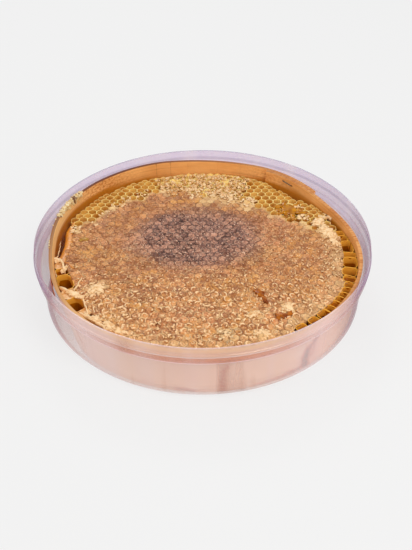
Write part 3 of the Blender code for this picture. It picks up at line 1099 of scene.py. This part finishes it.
# each wall: its points, how high it stands, how far down it goes, how thick it is
tornWalls = (
    (((-102.4, -14), (-100.6, -12.6), (-97.4, -13.6), (-94.6, -17), (-93.4, -22), (-92, -27)), 1.3, 4, 1.5),
    (((-101.6, -17), (-100.2, -21), (-99.6, -26), (-97, -31)), 0.6, 4, 1),
    (((-93.5, -43.5), (-89, -46), (-85, -48)), 1.2, 4, 1.7),
    (((-83.5, -47), (-82, -43), (-80.6, -38), (-79.4, -34.4)), 1, 1, 0.8),
    (((-84.5, -52), (-80, -52.8), (-77, -54.5), (-74.6, -61), (-72.4, -68), (-71.4, -73)), 1, 4, 0.9),
    (((-70.2, -58.6), (-69, -64), (-67.6, -69.5)), 0.8, 1, 0.7),
    (((-77.5, -69), (-73, -72.4), (-69.4, -74)), 1, 4, 1),
    (((-74.2, -68.6), (-71, -72.6), (-67.4, -76.2), (-63.6, -79.4), (-59.6, -82.4)), 0.5, 3, 2.2),
    (((-60, -84.5), (-56, -84), (-52, -87.5), (-48, -88)), 0.8, 3, 1),
    (((-99.6, 8.4), (-99, -2), (-99.2, -9), (-100.2, -13)), 0.3, 1, 0.4),
    (((84, 38), (88, 36), (91, 39), (93.5, 36.5), (95.5, 38.5)), 1.6, 3, 0.9),
    (((88.5, 44), (91.5, 42), (93, 44.5)), 1.2, 3, 0.8),
)

# each shelf: place, half-sizes, turn in degrees, lift over the caps, half-thickness
tornShelves = (
    (-83.5, -49.7, 6.2, 2.5, -34, 0.2, 1), (-78.8, -52.7, 3.4, 1.8, -10, 0.5, 0.9),
    (-98.5, -15, 3.6, 1.8, 10, 0.4, 0.9), (-92.5, -23.5, 1.6, 4.6, -14, 0.1, 0.9),
    (-66.5, -75.5, 6, 2.2, -22, 0.3, 0.8), (-58, -80, 5, 2.2, -36, 0.3, 0.8),
    (-50, -86, 4, 1.8, -24, 0.3, 0.8), (89, 19, 4.6, 8, 18, 0.15, 0.8), (93, 9, 3.6, 6, 4, 0.15, 0.8),
    (83, 30, 5.4, 4.4, 40, 0.15, 0.8), (-69, -45, 5.6, 4.2, 8, 0.1, 0.8),
    (31.5, -71.2, 3.4, 2.6, 30, 0.2, 0.8), (54.5, -64, 3.6, 4, -30, 0.2, 0.8),
    (37, -88.5, 4.6, 2.6, -14, 0.2, 0.8),
)


def railPoints(points):
    path = [Vector(point) for point in points]
    rail = []
    for start, end in zip(path, path[1:]):
        count = max(int((end - start).length / torn["step"]), 1)
        rail += [start.lerp(end, share / count) for share in range(count)]
    return rail + [path[-1]]


def crinkledWall(bm, layers, points, rise, drop, thick):
    rail = [point * mm for point in railPoints(points)]
    last = len(rail) - 1
    made = bmesh.ops.create_grid(bm, x_segments=last, y_segments=1, size=1.0)
    for vert in made["verts"]:
        column = round((vert.co.x + 1) / 2 * last)
        run = rail[min(column + 1, last)] - rail[max(column - 1, 0)]
        across = Vector((-run.y, run.x)).normalized() * vert.co.y * thick / 2
        place = rail[column]
        wander = Vector((flatNoise(place, 700), noiseAt(place.to_3d(), 700, z=9))) * torn["wander"]
        taper = 0.45 if column in (0, last) else 0.8 + 0.5 * flatNoise(place, 500)
        spot = place + (wander + across * taper) * mm
        vert.co = Vector((spot.x, spot.y, combHeight(place) - drop * mm))
    faces = list({face for vert in made["verts"] for face in vert.link_faces})
    raised = bmesh.ops.extrude_face_region(bm, geom=faces, use_keep_orig=True)
    for vert in newVerts(raised):
        ruffle = 1 + 0.9 * noise.noise(Vector((vert.co.x, vert.co.y, 5)) * 380)
        vert.co.z += (drop + rise * ruffle) * mm
        vert.co.x += 0.3 * mm * noise.noise(vert.co * 600)
        vert.co.y += 0.3 * mm * noiseAt(vert.co, 600, 3, 3, 3)
        vert[layers["high"]] = 1.0


def addShelf(bm, layers, x, y, halfX, halfY, turn, lift, halfThick):
    place = Vector((x, y)) * mm
    seed = place.to_3d()
    shape = lying(place, combHeight(place) + lift * mm, turn)
    for vert in ball(bm, 4):
        way = Vector((vert.co.x, vert.co.y, 0))
        lobes = 1 + 0.75 * noise.noise(way * 2.4 + seed * 900) + 0.12 * noise.noise(way * 6 + seed * 500)
        flat = shape @ (Vector((way.x * halfX, way.y * halfY, 0)) * lobes * mm)
        lumps = 0.7 * noise.noise(flat * 420) + 0.35 * noise.noise(flat * 1100)
        flat.z = combHeight(flat.xy) + (lift + vert.co.z * halfThick + lumps) * mm
        vert.co = flat
        vert[layers["high"]] = 0.75 + 0.6 * noise.noise(flat * 300)


def paleWax():
    look = Look("paleWax", 0.45, 0.10, 0.2)
    lump = look.noise(620, 3.0)
    high = look.add("high", look.ramp(lump, 0.3, 0.7, -0.4, 0.4))
    colour = look.mix(look.ramp(high, 0.1, 0.9), (214, 152, 78), (250, 214, 164))
    return look.finish(colour, lump, 0.5, 0.4 * mm)


def makeTornWax():
    bm = bmesh.new()
    layers = layersOf(bm, ("high",))
    for wall in tornWalls:
        crinkledWall(bm, layers, *wall)
    for shelf in tornShelves:
        addShelf(bm, layers, *shelf)
    for vert in bm.verts:
        keepInsideHoop(vert.co)
    newPiece("tornWax", bm, [bpy.data.materials["paleWax"]])


# raised lips of the caps: short curled ridges along the cells' outlines, pale partly in their own wax
# colour and partly as painted highlight

lips = {
    "reach": 2.2 * mm,
    "reachShares": (0.45, 1.05),
    "lift": 0.3 * mm,
    "tilt": 0.12,
    "halfThick": 0.42 * mm,
    "halfHigh": 0.60 * mm,
    "group": 60,
}

# where the caps are ringed all round: centre and radius in mm
ringedPatches = ((15.7, -89.5, 8), (40, -87, 5), (-5, -93, 5))


def lipWax():
    look = Look("lipWax", 0.42, 0.15, 0.15)
    speck = look.noise(800, 2.0)
    # glow lightens the lips towards near-white: painted highlight
    glow = look.ramp(look.add("glow", look.ramp(speck, 0.3, 0.7, -0.3, 0.3)), 0.0, 1.0)
    light = look.mix(glow, (220, 156, 104), (255, 220, 170))
    dark = look.mix(glow, (186, 132, 106), (252, 212, 186))
    return look.finish(look.mix("brood", light, dark))


def addLip(bm, layers, place, start, halfSpan, size, glow, brood):
    verts = ball(bm, 2)
    reach = lips["reach"] * random.uniform(*lips["reachShares"])
    level = combHeight(place) + lips["lift"]
    tilt = Vector((random.gauss(0, lips["tilt"]), random.gauss(0, lips["tilt"])))
    for vert in verts:
        turn = start + halfSpan * vert.co.x
        away = reach + lips["halfThick"] * size * vert.co.y
        flat = Vector((math.cos(turn), math.sin(turn))) * away
        height = level + lips["halfHigh"] * size * vert.co.z + flat.dot(tilt)
        vert.co = Vector((place.x + flat.x, place.y + flat.y, height))
        put(vert, layers, glow=glow, brood=brood)


def gather(bm, part):
    # moves a small group of shapes into the piece, which is faster than making all of them in it
    mesh = bpy.data.meshes.new("group")
    part.to_mesh(mesh)
    part.clear()
    bm.from_mesh(mesh)
    bpy.data.meshes.remove(mesh)


def lipsOf(place):
    # the lips of one cap: start, half-span, size, glow and brood shade of each
    front = smoothStep((-8 * mm - place.y) / (50 * mm))
    right = smoothStep((place.x - 30 * mm) / (30 * mm)) * smoothStep((30 * mm - place.y) / (25 * mm))
    front = max(front, 0.5 * right)
    brood = broodShade(place)
    if any((place - Vector((x, y)) * mm).length < radius * mm for x, y, radius in ringedPatches):
        return [(random.uniform(0, math.tau), 2.9, 1.0, 0.95, brood)]
    chance = max(0.30 + 0.45 * front, 0.85 * brood)
    found = []
    for _ in range(3):
        if random.random() < chance * roughShade(place) ** 0.5:
            halfSpan = random.uniform(0.20, 0.50) + front ** 2 * random.uniform(0.0, 0.9)
            size = random.uniform(0.45, 0.85) + front * random.uniform(0.1, 0.8)
            # how far each lip is lightened as painted highlight
            glow = random.uniform(0.2, 0.8) + 0.35 * front
            found.append((random.uniform(0, math.tau), halfSpan, size, glow, brood))
    return found


def makeLips():
    bm = bmesh.new()
    layersOf(bm, ("glow", "brood"))
    part = bmesh.new()
    layers = layersOf(part, ("glow", "brood"))
    places = [widen(flat) for flat in cellCentres()]
    wanted = [(place, lip) for place in places if cellKind(place) == "capped" for lip in lipsOf(place)]
    for number, (place, lip) in enumerate(wanted):
        addLip(part, layers, place, *lip)
        if number % lips["group"] == lips["group"] - 1:
            gather(bm, part)
            layers = layersOf(part, ("glow", "brood"))
    gather(bm, part)
    part.free()
    for vert in bm.verts:
        keepInsideHoop(vert.co)
    newPiece("capLips", bm, [lipWax()])


# flakes and crumbs of torn capping

flake = {
    "thick": 0.5 * mm,
    "tilt": 0.3,
    "patchSizes": (0.8, 1.9),
    "patchLift": 0.55 * mm,
}

# fields: directions from and to, distances from the middle in mm, how many, sizes in mm, paleness
flakeSectors = (
    (66, 113, 68, 96, 560, (0.7, 1.8), (-0.1, 0.9)), (66, 100, 62, 70, 60, (0.9, 1.9), (0.4, 0.9)),
    (-52, 18, 84, 96, 150, (0.5, 1.3), (0.3, 0.9)), (-128, -52, 84, 99, 120, (0.5, 1.5), (0.3, 0.9)),
    (-152, -128, 86, 98, 40, (0.5, 1.4), (0.4, 0.9)), (118, 166, 78, 86, 46, (0.6, 1.5), (0.5, 0.9)),
)

# small patches: place and reach in mm, how many, paleness
flakePatches = (
    (-68.5, -44.5, 6.5, 16, 0.7), (31.5, -71, 4, 8, 0.8), (54, -64, 4.5, 12, 0.8),
    (36.4, -88.5, 4.5, 14, 1), (15.7, -89.5, 6.5, 10, 0.95), (85, 24, 8.5, 5, 0.7),
    (-92, 21.5, 4.5, 14, 0.95), (74, 36, 4.5, 9, 0.8), (70, 50, 3.5, 10, 0.9), (34, 56, 6, 22, 0.9),
    (20, 59, 7, 22, 0.8),
)


def addFlake(bm, layers, place, size, paleness, lift=0.2 * mm):
    tilt = Vector((random.gauss(0, flake["tilt"]), random.gauss(0, flake["tilt"]), 1)).normalized()
    turn = Matrix.Rotation(random.uniform(0, math.tau), 4, "Z")
    turn = tilt.to_track_quat("Z", "Y").to_matrix().to_4x4() @ turn
    level = combHeight(place) + lift
    shape = lying(place, level, 0) @ turn @ Matrix.Diagonal((1.0, random.uniform(0.5, 1.0), 1, 1))
    made = bmesh.ops.create_cone(bm, cap_ends=True, segments=6, radius1=size, radius2=size * 0.75,
                                 depth=flake["thick"], matrix=shape)
    for vert in made["verts"]:
        vert.co += Vector((random.gauss(0, 0.16), random.gauss(0, 0.16), random.gauss(0, 0.12))) * size
        vert[layers["high"]] = min(max(paleness + random.gauss(0, 0.12), 0), 1)


def makeFlakes():
    bm = bmesh.new()
    layers = layersOf(bm, ("high",))
    for first, last, near, far, count, sizes, paleness in flakeSectors:
        for _ in range(count):
            place = polar(random.uniform(first, last), random.uniform(near, far) * mm, 0).xy
            if insideEdge(place) > 0.8 * mm:
                addFlake(bm, layers, place, random.uniform(*sizes) * mm, random.uniform(*paleness))
    for x, y, reach, count, paleness in flakePatches:
        for _ in range(count):
            away = polar(random.uniform(0, 360), reach * random.random() ** 0.6, 0).xy
            size = random.uniform(*flake["patchSizes"]) * mm
            addFlake(bm, layers, (Vector((x, y)) + away) * mm, size, paleness, flake["patchLift"])
    for vert in bm.verts:
        keepInsideHoop(vert.co)
    newPiece("waxFlakes", bm, [bpy.data.materials["paleWax"]])


# pools of honey

# each one: place and half-sizes in mm, turn in degrees, height over the caps in mm, number of its colour
pools = (
    (63.5, 45.5, 5.6, 5.8, -20, 0.1, 0), (56, 51, 5, 1.6, 12, 0.1, 0), (72, 42.5, 5, 1.6, -8, 0.1, 0),
    (65, 37.5, 1.8, 4.4, 10, 0.2, 0), (60, 53.5, 1.7, 4, -20, 0.1, 0), (68.5, 52, 1.7, 4, -50, 0.1, 0),
    (56.5, 41.5, 1.7, 3.4, -60, 0.1, 0), (36.8, -51, 4.4, 2.4, -60, 0.4, 1),
    (39.6, -57, 4.6, 1.2, -66, 0.4, 1), (50, -72.2, 3.6, 2.2, -10, 0.5, 1),
    (47.4, -73.5, 1.6, 2.8, 10, 0.4, 1), (54.5, -70.6, 2.6, 1.6, 40, 0.4, 1),
    (-83.3, 9.4, 3.2, 2.2, 15, -0.3, 2),
)


# name, dark tone, light tone, roughness
poolColours = (
    ("poolHoney", (158, 92, 0), (206, 136, 8), 0.2),
    ("tornStreak", (124, 54, 0), (186, 104, 10), 0.35),
    ("oliveSpot", (160, 112, 40), (188, 140, 60), 0.4),
)


def poolHoney(name, dark, light, roughness):
    look = Look(name, roughness, 0.12, 0.1, 0.2)
    cloud = look.noise(260)
    return look.finish(look.mix(look.ramp(cloud, 0.35, 0.65), dark, light), cloud, 0.4, 0.8 * mm)


def makePools():
    bm = bmesh.new()
    for x, y, halfX, halfY, turn, lift, colour in pools:
        place = Vector((x, y)) * mm
        shape = lying(place, combHeight(place) + lift * mm, turn)
        verts = ball(bm, 4)
        for vert in verts:
            lobes = 1 + 0.7 * noise.noise(Vector((vert.co.x, vert.co.y, 0)) * 2.2 + place.to_3d() * 900)
            flat = Vector((vert.co.x * halfX * lobes, vert.co.y * halfY * lobes, vert.co.z)) * mm
            vert.co = shape @ flat
            vert.co.z += 0.35 * mm * noise.noise(vert.co * 400)
        for face in {face for vert in verts for face in vert.link_faces}:
            face.material_index = colour
    newPiece("honeyPools", bm, [poolHoney(*colours) for colours in poolColours])


# amber side of the comb, where it rolls over towards the hoop at the left, and a film across the gap

sideRoll = {
    "from": 161,
    "to": 195,
    "columns": 36,
    "rows": ((0, -0.4), (2.6, 0.2), (4.6, -0.6), (5.4, -3), (5.6, -10), (5, -22)),  # outwards and up, in mm
    "startInside": 4.5 * mm,
    "thick": 0.8 * mm,
}


def rollWax():
    look = Look("rollWax", 0.3, 0.25, 0.12)
    streak = look.noise(300, 3.0, (1, 1, 0.25))
    colour = look.mix(look.ramp(streak, 0.35, 0.65), (226, 144, 26), (190, 108, 8))
    colour = look.mix(look.ramp("down", 0.0, 0.35, 0.7, 0.0), colour, (216, 144, 60))
    return look.finish(colour, streak, 0.4, 0.6 * mm)


def makeSideRoll():
    bm = bmesh.new()
    rows = sideRoll["rows"]
    bmesh.ops.create_grid(bm, x_segments=sideRoll["columns"], y_segments=len(rows) - 1, size=1.0)
    layers = layersOf(bm, ("down",))
    for vert in bm.verts:
        share = (vert.co.x + 1) / 2
        row = round((vert.co.y + 1) / 2 * (len(rows) - 1))
        angle = sideRoll["from"] + (sideRoll["to"] - sideRoll["from"]) * share
        fade = smoothStep(min(share, 1 - share) / 0.25)
        out, fall = rows[row]
        edge = combRadius(angle) - sideRoll["startInside"]
        wave = 0.7 * noise.noise(Vector((angle * 0.35, row, 0)))
        radius = edge + (out * (0.3 + 0.7 * fade) + wave * min(row, 1)) * mm
        height = combHeight(polar(angle, edge, 0).xy) + (0.2 + fall) * mm
        vert.co = polar(angle, radius, height)
        vert[layers["down"]] = row / (len(rows) - 1)
        keepInsideHoop(vert.co, 0.6 * mm)
    inner = bmesh.ops.extrude_face_region(bm, geom=bm.faces[:], use_keep_orig=True)
    for vert in newVerts(inner):
        vert.co.xy -= vert.co.xy.normalized() * sideRoll["thick"]
        vert.co.z -= 0.4 * sideRoll["thick"]
    newPiece("sideRoll", bm, [rollWax()])


# staple across the lap

stapleWire = {
    "angle": 50.8,
    "length": 9.5 * mm,
    "wide": 0.62 * mm,
    "thick": 0.5 * mm,
    "belowTop": 3.1 * mm,
    "slope": -9,
    "leg": 0.5 * mm,
    "segments": 12,
}


def stapleSteel():
    look = Look("stapleSteel", 0.5)
    look.set("Metallic", 0.6)
    rust = look.noise(900)
    rusty = look.add(look.ramp(rust, 0.4, 0.7, 0.0, 0.6), look.ramp("along", 0.75, 1.0, 0.0, 0.8))
    colour = look.mix(look.ramp(rusty, 0.2, 1.0), (118, 108, 100), (110, 52, 26))
    return look.finish(colour, rust, 0.3, 0.1 * mm)


def makeStaple():
    bm = bmesh.new()
    bmesh.ops.create_cube(bm, size=1.0)
    bmesh.ops.scale(bm, verts=bm.verts, vec=(stapleWire["length"], stapleWire["thick"], stapleWire["wide"]))
    half = stapleWire["length"] / 2
    bmesh.ops.bevel(bm, geom=edgesAlongX(bm, half), offset=0.15 * mm, segments=2, profile=0.5,
                    affect="EDGES", material=-1)
    bmesh.ops.subdivide_edges(bm, edges=edgesAlongX(bm, half), cuts=stapleWire["segments"],
                              use_grid_fill=True)
    layers = layersOf(bm, ("along",))
    for vert in bm.verts:
        share = abs(vert.co.x) / half
        vert[layers["along"]] = 0.5 + 0.5 * vert.co.x / half
        # the crown bends into the wood at both ends
        vert.co.y += stapleWire["leg"] * smoothStep((share - 0.86) / 0.14)
    height = hoopBottom(stapleWire["angle"]) + hoopShape["height"] - stapleWire["belowTop"]
    radius = hoopInnerRadius(stapleWire["angle"], height) - 0.3 * mm - stapleWire["thick"]
    facing = lying(polar(stapleWire["angle"], radius, 0), height, stapleWire["angle"] - 90)
    slope = Matrix.Rotation(math.radians(-stapleWire["slope"]), 4, "Y")
    bmesh.ops.transform(bm, matrix=facing @ slope, verts=bm.verts)
    newPiece("stapleCrown", bm, [stapleSteel()], "staple")


# studio

studio = {
    "distance": 5 * 115 * mm,
    "elevation": 38.3,
    "target": Vector((2.3 * mm, -16.9 * mm, 22.5 * mm)),
    "focalPixels": 840,
    "frameHeight": 550,
    "sensor": 36.0,
    "floorTone": (241, 241, 241),
    "floorGlow": 0.85,
    "sky": 0.60,
}


def makeFloor():
    bm = bmesh.new()
    bmesh.ops.create_grid(bm, x_segments=1, y_segments=1, size=6.0)
    look = Look("paleFloor", 0.9, specular=0.0)
    look.finish(studio["floorTone"])
    glow = look.node("ShaderNodeEmission", "Emission", {"Color": studio["floorTone"]})
    shaders = {"Fac": studio["floorGlow"], 1: look.shader.outputs["BSDF"], 2: glow}
    blend = look.node("ShaderNodeMixShader", "Shader", shaders)
    look.feed(look.material.node_tree.nodes["Material Output"].inputs["Surface"], blend)
    newObject("floor", bm, [look.material])


def softbox(name, direction, elevation, distance, size, power, colour=(1, 1, 1)):
    light = bpy.data.lights.new(name, "AREA")
    light.shape = "DISK"
    light.size = size
    light.energy = power
    light.color = colour
    lamp = addToScene(name, light)
    tip = math.radians(elevation)
    place = polar(direction, distance * math.cos(tip), distance * math.sin(tip))
    lamp.location = place
    lamp.rotation_euler = (-place).to_track_quat("-Z", "Y").to_euler()


def makeStudio():
    makeFloor()
    softbox("key", -50, 52, 1.1, 0.45, 4.6, (1.0, 0.97, 0.93))
    softbox("back", 100, 48, 1.2, 0.35, 2.4)
    softbox("left", 195, 40, 1.2, 0.5, 1.6)
    world = bpy.data.worlds.new("studio")
    world.use_nodes = True
    sky = world.node_tree.nodes["Background"]
    sky.inputs["Color"].default_value = (1.0, 1.0, 1.0, 1.0)
    sky.inputs["Strength"].default_value = studio["sky"]
    bpy.context.scene.world = world
    bpy.context.scene.view_settings.view_transform = "Standard"
    lens = bpy.data.cameras.new("camera")
    camera = addToScene("camera", lens)
    tip = math.radians(studio["elevation"])
    away = Vector((0, -math.cos(tip), math.sin(tip)))
    camera.location = studio["target"] + away * studio["distance"]
    camera.rotation_euler = (math.pi / 2 - tip, 0, 0)
    lens.sensor_width = studio["sensor"]
    lens.lens = studio["focalPixels"] * studio["sensor"] / studio["frameHeight"]
    lens.clip_start = 0.01
    bpy.context.scene.camera = camera


for make in (makeTub, makeHoop, makeSplinter, makeScraps, makeComb, makeGoldenCells, makeTornWax, makeLips,
             makeFlakes, makePools, makeSideRoll, makeStaple, makeStudio):
    make()
    print(make.__name__, "done")
